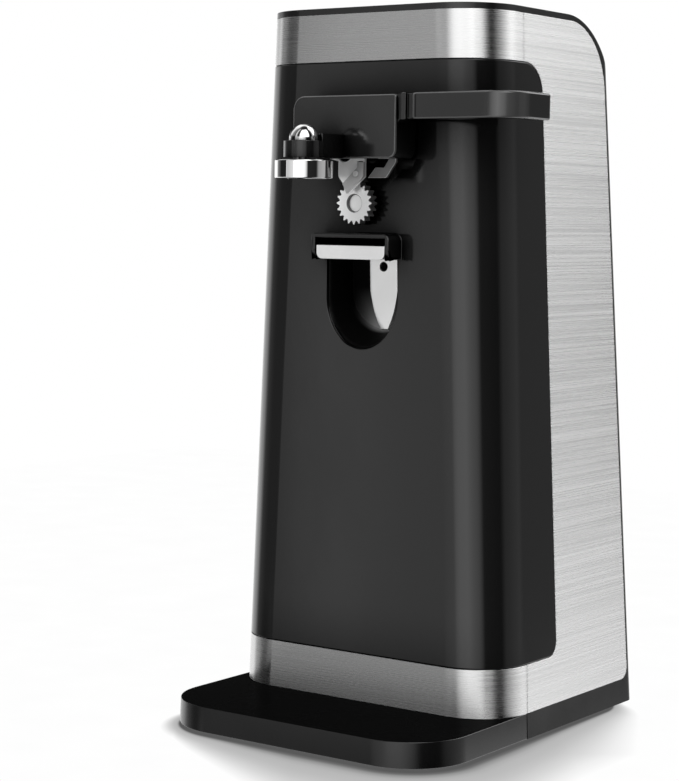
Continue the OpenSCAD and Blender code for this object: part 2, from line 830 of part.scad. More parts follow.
module motor_bolts() {
    color([0.7, 0.7, 0.72]) on_body() for (p = motor_bolt_pos) {
        rod(p, 1.5, rear_frame_y - 1.2, bridge_y + frame_t + 0.2);
        rod(p, 3, bridge_y + frame_t + 0.02, bridge_y + frame_t + 2.2);
        rod(p, 2.6, rear_frame_y - 2.2, rear_frame_y - 0.02);
    }
}

// Strip across the back of the motor that carries the shaft's rear bearing
module bearing_bridge() {
    color([0.6, 0.61, 0.62]) on_body() difference() {
        union() {
            through(bridge_y, bridge_y + frame_t)
                polygon(rounded([[-28, motor_z - 6], [28, motor_z - 6], [28, motor_z + 19],
                    [-28, motor_z + 19]], [8, 8, 3, 3]));
            for (p = motor_bolt_pos) rod(p, 3.4, motor_y + stack_t, bridge_y + 1);
        }
        rod(motor_pos, motor_shaft_r + play, -far, far);
        for (p = motor_bolt_pos) rod(p, 1.52, -far, far);
    }
}

module motor_shaft() {
    color([0.7, 0.7, 0.72]) on_body() {
        rod(motor_pos, motor_shaft_r, first_y, wheel_y + 7);
        gear(motor_pos, pinion_teeth, fine_module, first_turn + 180 + 180 / pinion_teeth,
            first_y, first_y + fine_w + 0.6);
    }
}

module rotor_core() {
    color([0.45, 0.46, 0.48]) on_body() difference() {
        union() {
            rod(motor_pos, rotor_r, motor_y + 1, motor_y + stack_t - 0.5);
            rod(motor_pos, 5, motor_y + 0.4, bridge_y - 0.4);
        }
        rod(motor_pos, motor_shaft_r + fit, -far, far);
    }
}

module cooling_fan() {
    color([0.9, 0.9, 0.88]) on_body() difference() {
        union() {
            rod(motor_pos, 5, fan_y, fan_y + 8);
            rod(motor_pos, 16, fan_y, fan_y + 1.4);
            for (i = [0 : 8])
                translate([0, fan_y, motor_z]) rotate([0, 40 * i, 0])
                    translate([4, 0, -0.8]) cube([12, 7, 1.6]);
        }
        rod(motor_pos, motor_shaft_r + fit, -far, far);
    }
}

module sharpening_wheel() {
    color([0.62, 0.6, 0.58]) on_body() difference() {
        translate([0, wheel_y, motor_z]) rotate([-90, 0, 0]) rotate_extrude()
            polygon([[0, 0], [wheel_r, 0], [wheel_r, 3], [5, 6.5], [0, 6.5]]);
        rod(motor_pos, motor_shaft_r + fit, -far, far);
    }
}

guide_y1 = back_y(motor_z) + 6.6;
guide_y0 = back_y(motor_z) - 8.6;
// Guide with two knife slots, standing out of the back in front of the grinding wheel
module sharpener_guide() {
    slot_y = wheel_y + 5.2;
    color([0.07, 0.07, 0.075]) on_body() difference() {
        union() {
            across_guide(guide_y0, guide_y1, 0);
            across_guide(guide_y0, back_y(motor_z + guide_h / 2) - shell_t - 0.3, 2);
        }
        // room for the wheel
        rod(motor_pos, wheel_r + 0.8, guide_y0 - 1, wheel_y + 7.2);
        for (s = [-1, 1])
            translate([s * slot_x, 0, motor_z - guide_h])
                linear_extrude(2 * guide_h)
                    polygon([[-1.4, slot_y], [1.4, slot_y], [1.4, guide_y1 - 5], [2.5, guide_y1 + 1],
                        [-2.5, guide_y1 + 1], [-1.4, guide_y1 - 5]]);
    }
}

module across_guide(y0, y1, grow) {
    through(y0, y1) polygon(rounded(
        [[-guide_w / 2 - grow, motor_z - guide_h / 2 - grow],
            [guide_w / 2 + grow, motor_z - guide_h / 2 - grow],
            [guide_w / 2 + grow, motor_z + guide_h / 2 + grow],
            [-guide_w / 2 - grow, motor_z + guide_h / 2 + grow]], [0, 0, 0, 0]));
}

module switch_body() {
    color([0.15, 0.15, 0.16]) on_body() difference() {
        translate([switch_x - 10, switch_y, switch_z]) cube([20, 6.45, 10]);
        for (s = [-1, 1]) rod([switch_x + 6.5 * s, switch_z + 5], 1.1, -far, far);
        translate([switch_x, switch_y + 3.2, switch_z - 1]) cylinder(r = 1.2 + play, h = 4);
    }
}

module switch_plunger() {
    color([0.8, 0.15, 0.12]) on_body()
        translate([switch_x, switch_y + 3.2, switch_z - 2]) cylinder(r = 1.2, h = 3.6);
}

module screw(pos, head_y, length, head_r, shank_r) {
    rod(pos, head_r, head_y - 1.6, head_y);
    rod(pos, shank_r, head_y, head_y + length);
}

module switch_screws() {
    color([0.75, 0.75, 0.77]) on_body() for (s = [-1, 1])
        screw([switch_x + 6.5 * s, switch_z + 5], switch_y, 8, 1.9, 1.05);
}

module frame_screws() {
    color([0.75, 0.75, 0.77]) on_body() for (x = [-boss_x, boss_x], z = [boss_z0, boss_z1])
        screw([x, z], front_frame_y - 0.02, 9, 3, 1.45);
}

module base_screws() {
    color([0.75, 0.75, 0.77]) on_body() for (p = cover_screw_pos())
        translate([p[0], p[1], stand_h + 0.1]) {
            cylinder(r = 2.8, h = 0.7);
            cylinder(r = 1.25, h = 5);
        }
}

// ---- Bottle opener steel ----

module bottle_lip() {
    w = hood_w / 2 - hood_wall - 0.2;
    color([0.8, 0.8, 0.82]) on_body() through(lip_y, lip_y + lip_t)
        polygon(rounded([[-w, lip_z], [w, lip_z], [w, lip_z + lip_h], [-w, lip_z + lip_h]],
            [2.1, 2.1, 0, 0]));
}

// Steel tongue on the recess's back wall: a plate that tapers below and reaches up into the hood
module bottle_tongue() {
    tip = lip_z - 23.6;
    top = recess_top - 1;
    color([0.78, 0.78, 0.8]) on_body() on_recess_back(recess_depth) through(-tongue_t, 0)
        difference() {
            polygon(rounded([[-5.5, top], [-5.5, tip + 12.5], [-4.2, tip + 6.5],
                [-2.9, tip + 3], [-1.45, tip], [1.45, tip], [2.9, tip + 3], [4.2, tip + 6.5],
                [5.5, tip + 12.5], [5.5, top]], [1, 14, 20, 20, 0, 0, 20, 20, 14, 1]));
            translate([0, lip_z - 2.6]) circle(r = 1.6);
        }
}

// ---- Lever with cutting unit ----

module lever_arm() {
    color([0.05, 0.05, 0.055]) on_body() difference() {
        union() {
            // plate
            through(plate_y, face_y - lever_gap)
                polygon(rounded([[plate_x0, plate_z], [plate_x1, plate_z],
                    [plate_x1, plate_top], [plate_x0, plate_top]], [2, 2.8, 1, 4.3]));
            // neck between plate and handle, with its rib and a fillet below
            translate([plate_x1 - 1, plate_y + 1.2, handle_z + 0.3])
                cube([neck_w + 3, handle_t - 1.2, handle_h - 0.6]);
            translate([plate_x1 + 1.9, plate_y + 0.1, handle_z])
                cube([1.6, handle_t - 0.1, handle_h]);
            through(plate_y + 1.2, plate_y + handle_t) difference() {
                translate([plate_x1 - 0.5, handle_z - 1.1]) square([1.9, 1.9]);
                translate([plate_x1 + 1.4, handle_z - 1.1]) circle(r = 1.4);
            }
            // handle bar with its return along the side
            translate([0, 0, handle_z]) linear_extrude(handle_h)
                polygon(rounded([[plate_x1 + neck_w, plate_y], [lever_reach, plate_y],
                    [lever_reach, plate_y + return_l], [lever_reach - return_t, plate_y + return_l],
                    [lever_reach - return_t, plate_y + handle_t],
                    [plate_x1 + neck_w, plate_y + handle_t]],
                    [2.9, handle_corner_r, 1.2, 1.2, 5, 1]));
        }
        // hollow of the plate, open towards the body and below
        translate([plate_x0 + lever_wall, plate_y + lever_wall, plate_z - 1])
            cube([plate_w - 2 * lever_wall, far, plate_h + 1 - lever_wall]);
    }
}

module magnet_arm() {
    arm_w = 11;
    color([0.05, 0.05, 0.055]) on_body() difference() {
        union() {
            translate([magnet_pos[0], magnet_pos[1], ring_z]) cylinder(r = ring_r, h = ring_h);
            translate([magnet_pos[0] - arm_w / 2, magnet_pos[1], ring_z])
                cube([arm_w, plate_y - magnet_pos[1], ring_h]);
            translate([magnet_pos[0] - arm_w / 2, magnet_pos[1] + 2.4, ring_z])
                cube([arm_w, plate_y - magnet_pos[1] - 2.4, ring_h + 2.5]);
        }
        translate([magnet_pos[0], magnet_pos[1], ring_z - 1])
            cylinder(r = stud_r + play, h = ring_h + 2);
        // the step behind the dome is hollowed round it
        translate([magnet_pos[0], magnet_pos[1], ring_z + ring_h])
            cylinder(r = dome_r + 0.4, h = 10);
    }
}

module cutter_carrier() {
    z0 = plate_z + 1;
    color([0.55, 0.56, 0.58]) on_body() difference() {
        through(carrier_y, carrier_y + carrier_t)
            polygon(rounded([[plate_x0 + lever_wall + 0.1, z0], [plate_x1 - lever_wall - 0.1, z0],
                [plate_x1 - lever_wall - 0.1, plate_top - lever_wall - 0.1],
                [plate_x0 + lever_wall + 0.1, plate_top - lever_wall - 0.1]], [1, 1, 1, 3]));
        rod(pivot, lever_shaft_r + 0.02, -far, far);
        for (p = carrier_rivet_pos) rod(p, 1.2, -far, far);
    }
}

carrier_rivet_pos = [[-4.5, plate_z + 12], [3, plate_z + 12], [14.8, plate_z + 5],
    [14.8, plate_z + 13]];

module cutter_blade() {
    color([0.82, 0.82, 0.84]) on_body() difference() {
        through(blade_y, blade_y + blade_t)
            polygon(rounded([[-7.5, plate_z + 16], [-7.5, plate_z], [-4.1, plate_z - 0.7],
                [-4.1, tip_z + 5.3], [-1.8, tip_z + 2.6], [0, tip_z], [6.2, tip_z + 5.2],
                [6.2, plate_z + 16]], [1, 0, 0, 2, 0, 0, 0, 1]));
        rod([-4.5, plate_z + 12], 1.2, -far, far);
        rod([3, plate_z + 12], 1.2, -far, far);
        rod(stripper_rivet, 0.7, -far, far);
        // scallop under the plate, and the slot beside the stripper's upper corner
        rod([-1.8, plate_z + 2.4], 3.4, -far, far);
        through(-far, far) polygon([[3.3, plate_z - 2.9], [3.8, plate_z - 2.9],
            [3.8, plate_z - 1.1], [5.8, plate_z - 1.1], [5.8, plate_z - 0.7],
            [3.3, plate_z - 0.7]]);
    }
}

stripper_rivet = [3.4, tip_z + 6.2];
module lid_stripper() {
    color([0.55, 0.55, 0.56]) on_body() difference() {
        through(blade_y - stripper_t, blade_y)
            polygon([[-1.9, tip_z + 3], [-0.2, tip_z - 0.3], [6.4, tip_z + 5.2],
                [6.4, plate_z - 1], [4, plate_z - 1], [4, plate_z - 2.7]]);
        rod(stripper_rivet, 0.7, -far, far);
    }
}

module guide_rivet() {
    color([0.8, 0.8, 0.82]) on_body() {
        rod(stripper_rivet, 0.7, blade_y - stripper_t, blade_y + blade_t);
        rod(stripper_rivet, 0.95, blade_y - stripper_t - 0.35, blade_y - stripper_t);
    }
}

module can_guide() {
    color([0.3, 0.3, 0.32]) on_body() difference() {
        through(blade_y, blade_y + blade_t)
            polygon(rounded([[11.6, plate_z + 16], [11.6, plate_z], [15.8, plate_z],
                [14.1, plate_z - 2.9], [10.6, plate_z - 2.9], [7.7, plate_z - 6.1],
                [14.8, plate_z - 6.1], [18.5, plate_z - 1], [18.5, plate_z + 16]],
                [1, 0, 0, 0.6, 0, 0, 1, 0, 1]));
        rod([14.8, plate_z + 5], 1.2, -far, far);
        rod([14.8, plate_z + 13], 1.2, -far, far);
    }
}

module carrier_rivets() {
    color([0.7, 0.7, 0.72]) on_body() for (p = carrier_rivet_pos) {
        rod(p, 1.2, carrier_y, blade_y + blade_t);
        rod(p, 1.9, blade_y + blade_t, blade_y + blade_t + 0.8);
    }
}

// Shaft of the lever, with the cam that works the switch
module lever_shaft() {
    color([0.68, 0.68, 0.7]) on_body() {
        rod(pivot, lever_shaft_r, carrier_y, cam_y1);
        rod(pivot, lever_shaft_r - 1, cam_y1, front_frame_y + frame_t);
        through(cam_y1 - 4.8, cam_y1)
            polygon(rounded([[pivot[0] + 5, pivot[1] - 5.5], [pivot[0] + 5, pivot[1] + 5.5],
                [switch_x - 2, switch_z - 2.05], [switch_x - 2, switch_z - 4.5]],
                [4, 4, 1, 1]));
    }
}

module magnet_stud() {
    z = ring_z + ring_h + 0.15;
    color([0.88, 0.88, 0.9]) on_body() translate([magnet_pos[0], magnet_pos[1], 0]) {
        rotate_extrude() difference() {
            union() {
                translate([0, z + 0.5]) circle(r = dome_r);
                translate([0, z]) square([dome_r, 0.5]);
                translate([0, ball_z]) square([stud_r, z - ball_z + 1]);
            }
            translate([-far, -far / 2]) square([far, far * 2]);
            translate([stud_r, z - 20]) square([far, 20]);
        }
        translate([0, 0, ball_z]) sphere(r = ball_r);
    }
}

module magnet_cup() {
    color([0.88, 0.88, 0.9]) on_body() translate([magnet_pos[0], magnet_pos[1], 0]) difference() {
        translate([0, 0, disc_z0]) cylinder(r = magnet_r, h = magnet_h);
        translate([0, 0, ball_z]) sphere(r = ball_r + play);
        translate([0, 0, ball_z]) cylinder(r = stud_r + 0.25, h = 5);
        translate([0, 0, disc_z0 - 1]) cylinder(r = magnet_r - 1.2, h = 2.2);
    }
}

module magnet_core() {
    color([0.25, 0.25, 0.27]) on_body() translate([magnet_pos[0], magnet_pos[1], disc_z0 + 0.2])
        cylinder(r = magnet_r - 1.25, h = 0.95);
}

rear_housing();
front_panel();
top_band();
bottom_band();
side_panel_left();
side_panel_right();
base_foot();
bottom_cover();
foot_pad_1();
foot_pad_2();
foot_pad_3();
foot_pad_4();
cord_gland();
sharpener_guide();
front_frame();
rear_frame();
frame_pillars();
drive_bush();
lever_bush();
second_gear_pin();
first_gear_pin();
motor_stack();
coil_bobbin();
motor_coil();
bearing_bridge();
switch_body();
switch_plunger();
switch_screws();
base_screws();
frame_screws();
motor_bolts();
bottle_lip();
bottle_tongue();
lever_arm();
magnet_arm();
cutter_carrier();
cutter_blade();
lid_stripper();
can_guide();
guide_rivet();
carrier_rivets();
lever_shaft();
magnet_stud();
magnet_cup();
magnet_core();
feed_wheel();
drive_shaft();
drive_gear();
second_gear();
first_gear();
motor_shaft();
rotor_core();
cooling_fan();
sharpening_wheel();
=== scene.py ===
"""Looks of the electric can opener: finishes, fine edges and small parts over its CAD model."""

import json
import math

import bmesh
import bpy
from mathutils import Matrix, Vector


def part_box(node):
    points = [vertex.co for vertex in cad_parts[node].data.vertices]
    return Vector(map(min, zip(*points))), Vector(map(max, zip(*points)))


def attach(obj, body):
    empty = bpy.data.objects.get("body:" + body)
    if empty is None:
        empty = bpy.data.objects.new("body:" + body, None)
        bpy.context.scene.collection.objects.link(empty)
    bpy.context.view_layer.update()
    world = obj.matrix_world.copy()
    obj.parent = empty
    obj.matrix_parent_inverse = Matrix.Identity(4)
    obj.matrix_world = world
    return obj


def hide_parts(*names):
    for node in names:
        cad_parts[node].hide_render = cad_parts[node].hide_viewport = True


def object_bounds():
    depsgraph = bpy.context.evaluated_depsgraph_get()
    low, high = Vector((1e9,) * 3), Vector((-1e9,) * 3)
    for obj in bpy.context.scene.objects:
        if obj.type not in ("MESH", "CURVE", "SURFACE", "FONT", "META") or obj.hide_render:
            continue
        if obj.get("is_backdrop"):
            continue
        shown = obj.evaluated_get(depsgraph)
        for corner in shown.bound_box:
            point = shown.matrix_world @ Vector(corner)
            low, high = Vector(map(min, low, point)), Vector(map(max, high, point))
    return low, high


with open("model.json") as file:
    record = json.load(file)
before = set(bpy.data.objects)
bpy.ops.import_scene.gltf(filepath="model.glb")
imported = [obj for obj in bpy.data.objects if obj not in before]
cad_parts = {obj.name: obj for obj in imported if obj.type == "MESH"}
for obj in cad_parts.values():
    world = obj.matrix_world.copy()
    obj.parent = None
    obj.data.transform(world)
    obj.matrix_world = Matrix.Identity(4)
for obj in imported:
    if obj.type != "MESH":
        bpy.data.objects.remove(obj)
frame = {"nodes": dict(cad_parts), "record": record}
low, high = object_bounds()
SLOT = {s["node"]: s["material_slot"] for s in frame["record"]["subparts"]}
BODY = {n: b for b, nodes in frame["record"]["behaviour"]["bodies"].items() for n in nodes}
MM = 0.001
WELD = 2e-6  # corners of a CAD node closer than this, in metres, are one
SHARP = math.radians(30)  # an edge that turns further than this is rounded, or stays crisp

# ---------------------------------------------------------------- node helpers


def grey(v):
    return (v, v, v, 1)


def feed(t, socket, value):
    """Sets the socket to a plain value, or links it to another node's output."""
    if isinstance(value, bpy.types.NodeSocket):
        t.links.new(value, socket)
    else:
        socket.default_value = value


def add(t, kind, **given):
    """A node with its inputs given by name, or by number as i0, and its properties after an underscore."""
    node = t.nodes.new(kind)
    for key, value in given.items():
        if key.startswith("_"):
            setattr(node, key[1:], value)
    for key, value in given.items():
        if not key.startswith("_"):
            numbered = key[0] == "i" and key[1:].isdigit()
            feed(t, node.inputs[int(key[1:]) if numbered else key.replace("_", " ")], value)
    return node


def calc(t, operation, *values):
    node = t.nodes.new("ShaderNodeMath")
    node.operation = operation
    for socket, value in zip(node.inputs, values):
        feed(t, socket, value)
    return node.outputs[0]


def minus(t, a, b):
    return calc(t, "SUBTRACT", a, b)


def times(t, first, *others):
    for value in others:
        first = calc(t, "MULTIPLY", first, value)
    return first


def blend(t, a, b, share):
    return calc(t, "MULTIPLY_ADD", minus(t, b, a), share, a)


def span(t, value, start, end, at_start=0.0, at_end=1.0):
    """Runs evenly from at_start to at_end as the value goes from start to end, and no further."""
    return add(t, "ShaderNodeMapRange", i0=value, i1=start, i2=end, i3=at_start, i4=at_end).outputs[0]


def ramp(t, value, stops):
    """Brightness by a value from 0 to 1, straight between stops of (value, brightness)."""
    node = add(t, "ShaderNodeValToRGB", Fac=value)
    elements = node.color_ramp.elements
    for k, (place, v) in enumerate(stops):
        element = elements[k] if k < 2 else elements.new(place)
        element.position = place
        element.color = grey(v)
    return node.outputs[0]


def coordinates(t):
    return add(t, "ShaderNodeTexCoord").outputs["Object"]


def separate(t, vector):
    return add(t, "ShaderNodeSeparateXYZ", Vector=vector).outputs


def combine(t, x, y, z):
    return add(t, "ShaderNodeCombineXYZ", X=x, Y=y, Z=z).outputs[0]


def noise(t, vector, scale, detail, roughness=0.5, distortion=0.0):
    return add(t, "ShaderNodeTexNoise", Vector=vector, Scale=scale, Detail=detail,
               Roughness=roughness, Distortion=distortion).outputs[0]


def bump(t, strength, distance, height):
    return add(t, "ShaderNodeBump", Strength=strength, Distance=distance, Height=height).outputs[0]


# ---------------------------------------------------------------- shared effects

FLOAT, VECTOR = "NodeSocketFloat", "NodeSocketVector"


def effect(name, inputs, outputs):
    """A new group, with the sockets inside it that give its inputs and take its outputs."""
    g = bpy.data.node_groups.new(name, "ShaderNodeTree")
    for label, value in inputs.items():
        g.interface.new_socket(name=label, in_out="INPUT", socket_type=FLOAT).default_value = value
    for label, kind in outputs.items():
        g.interface.new_socket(name=label, in_out="OUTPUT", socket_type=kind)
    return g, g.nodes.new("NodeGroupInput").outputs, g.nodes.new("NodeGroupOutput").inputs


def make_brushing():
    """Fine parallel scratches that run level round the object, about Lines of them to a metre."""
    g, given, out = effect("Brushing", {"Lines": 5000.0, "Depth": 0.2, "Roughness": 0.25},
                           {"Roughness": FLOAT, "Tone": FLOAT, "Normal": VECTOR})
    along, broader, fine_share, gloss_spread, groove = 6.0, 0.11, 0.88, 0.06, 0.04 * MM
    place = separate(g, coordinates(g))
    x, y = times(g, place[0], along), times(g, place[1], along)
    z = times(g, place[2], given["Lines"])
    fine = noise(g, combine(g, x, y, z), 1.0, 3.0, roughness=0.7)
    wide = noise(g, combine(g, x, y, times(g, z, broader)), 1.0, 2.0)
    mixed = calc(g, "ADD", times(g, fine, fine_share), times(g, wide, 1 - fine_share))
    mixed = span(g, mixed, 0.34, 0.66)
    gloss = calc(g, "MULTIPLY_ADD", minus(g, mixed, 0.5), gloss_spread, given["Roughness"])
    feed(g, out["Roughness"], gloss)
    feed(g, out["Tone"], mixed)
    feed(g, out["Normal"], bump(g, given["Depth"], groove, fine))
    return g


def make_handling():
    """Faint smears that dull a polished surface by Amount at most, and specks of dust in patches."""
    g, given, out = effect("Handling marks", {"Roughness": 0.1, "Amount": 0.05},
                           {"Roughness": FLOAT, "Dust": FLOAT})
    wiped = add(g, "ShaderNodeMapping", Vector=coordinates(g), Scale=(1.0, 1.0, 0.6)).outputs[0]
    smear = span(g, noise(g, wiped, 38.0, 5.0, roughness=0.6, distortion=0.6), 0.42, 0.72)
    cells = add(g, "ShaderNodeTexVoronoi", Vector=wiped, Scale=900.0, Randomness=1.0)
    specks = span(g, cells.outputs["Distance"], 0.03, 0.09, 1.0, 0.0)
    patches = span(g, noise(g, wiped, 60.0, 2.0), 0.5, 0.7)
    feed(g, out["Roughness"], calc(g, "MULTIPLY_ADD", smear, given["Amount"], given["Roughness"]))
    feed(g, out["Dust"], times(g, specks, patches))
    return g


def make_grain():
    """Fine moulded grain, as spark-eroded tools leave it."""
    g, given, out = effect("Moulded grain", {"Scale": 3000.0, "Depth": 0.2},
                           {"Tone": FLOAT, "Normal": VECTOR})
    grain = noise(g, coordinates(g), given["Scale"], 2.0)
    feed(g, out["Tone"], grain)
    feed(g, out["Normal"], bump(g, given["Depth"], 0.03 * MM, grain))
    return g


def make_nearby_shade():
    """Mask is Most where other parts close round a surface keep the light off it, and 0 in the open."""
    g, given, out = effect("Nearby shade", {"Reach": 0.01, "Most": 0.9}, {"Mask": FLOAT})
    sky = add(g, "ShaderNodeAmbientOcclusion", _samples=6, Distance=given["Reach"]).outputs["AO"]
    feed(g, out["Mask"], times(g, span(g, sky, 0.5, 0.96, 1.0, 0.0), given["Most"]))
    return g


def make_painted_edge_highlight():
    """Mask is Most on the rounded edges of a piece's front, where a highlight is painted on them."""
    g, given, out = effect("Painted edge highlight", {"Most": 1.0}, {"Mask": FLOAT})
    normal = add(g, "ShaderNodeVectorTransform", _vector_type="NORMAL", _convert_from="WORLD",
                 _convert_to="OBJECT", i0=add(g, "ShaderNodeNewGeometry").outputs["Normal"]).outputs[0]
    facing = calc(g, "ABSOLUTE", separate(g, normal)[1])
    edge = times(g, span(g, facing, 0.99, 0.9), span(g, facing, 0.1, 0.3))
    feed(g, out["Mask"], times(g, edge, given["Most"]))
    return g


def make_recess_shade():
    """Mask is 1 inside the bottle recess and up in its hood, and Open is 1 where light reaches its back."""
    g, given, out = effect("Recess shade", {"Middle": 0.0, "Half width": 0.016, "Face": 0.0, "Depth": 0.008,
                                            "Top": 0.166, "Height": 0.03}, {"Mask": FLOAT, "Open": FLOAT})
    x, y, z = separate(g, coordinates(g))
    across = minus(g, x, given["Middle"])
    depth = minus(g, y, given["Face"])
    fallen = calc(g, "DIVIDE", minus(g, given["Top"], z), given["Height"])
    between_walls = calc(g, "LESS_THAN", calc(g, "ABSOLUTE", across), given["Half width"])
    below_top = calc(g, "LESS_THAN", z, given["Top"])
    inside = times(g, between_walls, below_top, span(g, depth, 0.4 * MM, 3.0 * MM))
    by_tongue = span(g, across, -13.0 * MM, -4.0 * MM)
    low_down = span(g, fallen, 0.55, 0.95)
    at_back = span(g, calc(g, "DIVIDE", depth, given["Depth"]), 0.8, 0.95)
    feed(g, out["Mask"], inside)
    feed(g, out["Open"], times(g, inside, by_tongue, low_down, at_back))
    return g


BRUSHING, HANDLING, GRAIN = make_brushing(), make_handling(), make_grain()
NEARBY, EDGE_HIGHLIGHT, RECESS = make_nearby_shade(), make_painted_edge_highlight(), make_recess_shade()


def use(t, g, **values):
    """The group placed in a material with its own values; its outputs."""
    node = add(t, "ShaderNodeGroup", _node_tree=g)
    for key, value in values.items():
        node.inputs[key.replace("_", " ")].default_value = value
    return node.outputs


# ---------------------------------------------------------------- finishes

BLACKENED = 0.002  # what a surface falls to where no light reaches it


def shader(m):
    return m.node_tree.nodes["Principled BSDF"]


def source(socket):
    return socket.links[0].from_socket


def material(name, **constants):
    m = bpy.data.materials.new(name)
    m.use_nodes = True
    for key, value in constants.items():
        shader(m).inputs[key.replace("_", " ")].default_value = value
    return m, m.node_tree, shader(m).inputs


def coloured(t, inputs, share, dark, light):
    """Base Color goes from one colour to the other by a share from 0 to 1."""
    mix = add(t, "ShaderNodeMix", _data_type="RGBA", Factor=share, i6=dark, i7=light)
    feed(t, inputs["Base Color"], mix.outputs[2])


def turned_to(t, inputs, mask, v):
    """Base Color turns to the grey v where mask is 1."""
    coloured(t, inputs, mask, source(inputs["Base Color"]), grey(v))


def darkened(t, inputs, mask, metal=False):
    """Base Color falls to black where mask is 1; a plastic loses its reflection there too."""
    turned_to(t, inputs, mask, BLACKENED)
    if not metal:
        feed(t, inputs["Metallic"], mask)


def nearby(m, reach, most, metal=False):
    """The material with the shade of close parts on it."""
    shade = use(m.node_tree, NEARBY, Reach=reach, Most=most)
    darkened(m.node_tree, shader(m).inputs, shade["Mask"], metal)
    return m


def with_edge_highlight(m, light):
    """The material with a highlight painted on the rounded edges of its front, as light as that grey."""
    turned_to(m.node_tree, shader(m).inputs, use(m.node_tree, EDGE_HIGHLIGHT, Most=1.0)["Mask"], light)
    return m


def brushed(name, dark, light, rough, lines, depth, metallic=1.0, stretch=0.0):
    """Metal with level scratches; stretch draws its highlights out across them."""
    m, t, inputs = material(name, Metallic=metallic, Anisotropic=stretch, Anisotropic_Rotation=0.25)
    level = add(t, "ShaderNodeVectorMath", _operation="CROSS_PRODUCT",
                i0=add(t, "ShaderNodeNewGeometry").outputs["Normal"], i1=(0.0, 0.0, 1.0))
    feed(t, inputs["Tangent"], level.outputs[0])
    scratches = use(t, BRUSHING, Lines=lines, Depth=depth, Roughness=rough)
    feed(t, inputs["Roughness"], scratches["Roughness"])
    feed(t, inputs["Normal"], scratches["Normal"])
    coloured(t, inputs, scratches["Tone"], dark, light)
    return m


def polished(name, clean, dusty, rough, smears, metallic=0.0, waves=0.03):
    """A smooth surface with smears and dust, and waves so shallow that only reflections show them."""
    m, t, inputs = material(name, Metallic=metallic)
    marks = use(t, HANDLING, Roughness=rough, Amount=smears)
    feed(t, inputs["Roughness"], marks["Roughness"])
    feed(t, inputs["Normal"], use(t, GRAIN, Scale=900.0, Depth=waves)["Normal"])
    coloured(t, inputs, marks["Dust"], clean, dusty)
    return m


def moulded(name, dark, light, rough, scale, depth, metallic=0.0):
    """A surface with the grain of the tool or powder that it was pressed from."""
    m, t, inputs = material(name, Metallic=metallic)
    grain = use(t, GRAIN, Scale=scale, Depth=depth)
    feed(t, inputs["Roughness"], use(t, HANDLING, Roughness=rough, Amount=0.06)["Roughness"])
    feed(t, inputs["Normal"], grain["Normal"])
    coloured(t, inputs, grain["Tone"], dark, light)
    return m


def satin_black(name):
    return moulded(name, grey(0.007), grey(0.010), 0.17, 2600.0, 0.12)


def gloss_black(name):
    return polished(name, grey(0.011), grey(0.03), 0.10, 0.03)


# The finish of each slot
MAT = {
    "brushed_steel": brushed("Brushed stainless steel", grey(0.585), grey(0.645), 0.27, 3300.0, 0.06,
                             stretch=1.0),
    "black_plastic": nearby(satin_black("Satin black plastic"), 0.025, 0.9),
    "gloss_black": nearby(gloss_black("Polished black plastic"), 0.02, 0.9),
    "bright_steel": polished("Satin bright steel", grey(0.95), grey(0.82), 0.13, 0.05, metallic=0.8),
    "grey_steel": nearby(polished("Grey hardened steel", grey(0.5), grey(0.42), 0.3, 0.1, metallic=0.6),
                         0.0015, 0.6, metal=True),
    "plain_steel": polished("Turned steel", grey(0.82), grey(0.7), 0.28, 0.1, metallic=0.4),
    "sintered_steel": nearby(moulded("Sintered steel", grey(0.7), grey(0.8), 0.36, 5200.0, 0.4,
                                     metallic=0.3), 0.0018, 0.85, metal=True),
    "zinc_steel": polished("Zinc-plated steel", (0.5, 0.51, 0.54, 1), grey(0.4), 0.3, 0.12, metallic=1.0),
    "iron_sheet": brushed("Iron sheets", grey(0.12), grey(0.2), 0.45, 2000.0, 0.8, metallic=0.9),
    "chrome": nearby(polished("Chrome", grey(0.9), grey(0.8), 0.02, 0.015, metallic=1.0, waves=0.0),
                     0.004, 0.95, metal=True),
    "ferrite": moulded("Ferrite", grey(0.03), grey(0.05), 0.6, 2400.0, 0.5),
    "bronze": polished("Sintered bronze", (0.5, 0.33, 0.14, 1), (0.4, 0.26, 0.1, 1), 0.35, 0.1,
                       metallic=1.0),
    "copper_wire": brushed("Enamelled copper", (0.5, 0.2, 0.08, 1), (0.7, 0.32, 0.14, 1), 0.3, 1600.0, 1.0),
    "rubber": moulded("Black rubber", grey(0.018), grey(0.03), 0.7, 1800.0, 0.5),
    "white_plastic": moulded("Natural nylon", (0.7, 0.69, 0.63, 1), (0.78, 0.77, 0.72, 1), 0.4, 1500.0, 0.2),
    "red_plastic": moulded("Red plastic", (0.5, 0.03, 0.02, 1), (0.6, 0.05, 0.03, 1), 0.4, 1500.0, 0.2),
    "grit": moulded("Grinding grit", grey(0.2), (0.45, 0.42, 0.38, 1), 0.9, 3500.0, 1.0),
}

# Finishes that single pieces have, or parts of them
# The guide's rounded front edges carry a painted highlight.
GUIDE = with_edge_highlight(polished("Dark hardened steel", grey(0.12), grey(0.16), 0.3, 0.1, metallic=0.6), 0.9)
BLADE = polished("Ground blade steel", grey(0.97), grey(0.92), 0.3, 0.05, metallic=0.2)
# The feed wheel's faces other than its front: a dark copy of its sintered steel, painted shade.
SHADED_FLANKS = moulded("Sintered tooth flanks in painted shade", grey(0.08), grey(0.13), 0.5, 5200.0, 0.5)
# The lever's rounded front edges carry a painted highlight.
LEVER = nearby(with_edge_highlight(gloss_black("Polished black plastic of the lever"), 0.075), 0.02, 0.9)
FOOT = nearby(satin_black("Satin black plastic of the foot"), 0.025, 0.35)
# The foot's top faces: a darker copy of its black plastic, painted shade.
FOOT_TOP_SHADED = moulded("Foot top in painted shade", grey(0.0025), grey(0.004), 0.25, 2600.0, 0.12)
shader(FOOT_TOP_SHADED).inputs["IOR"].default_value = 1.012  # almost no mirror image of the steel above it


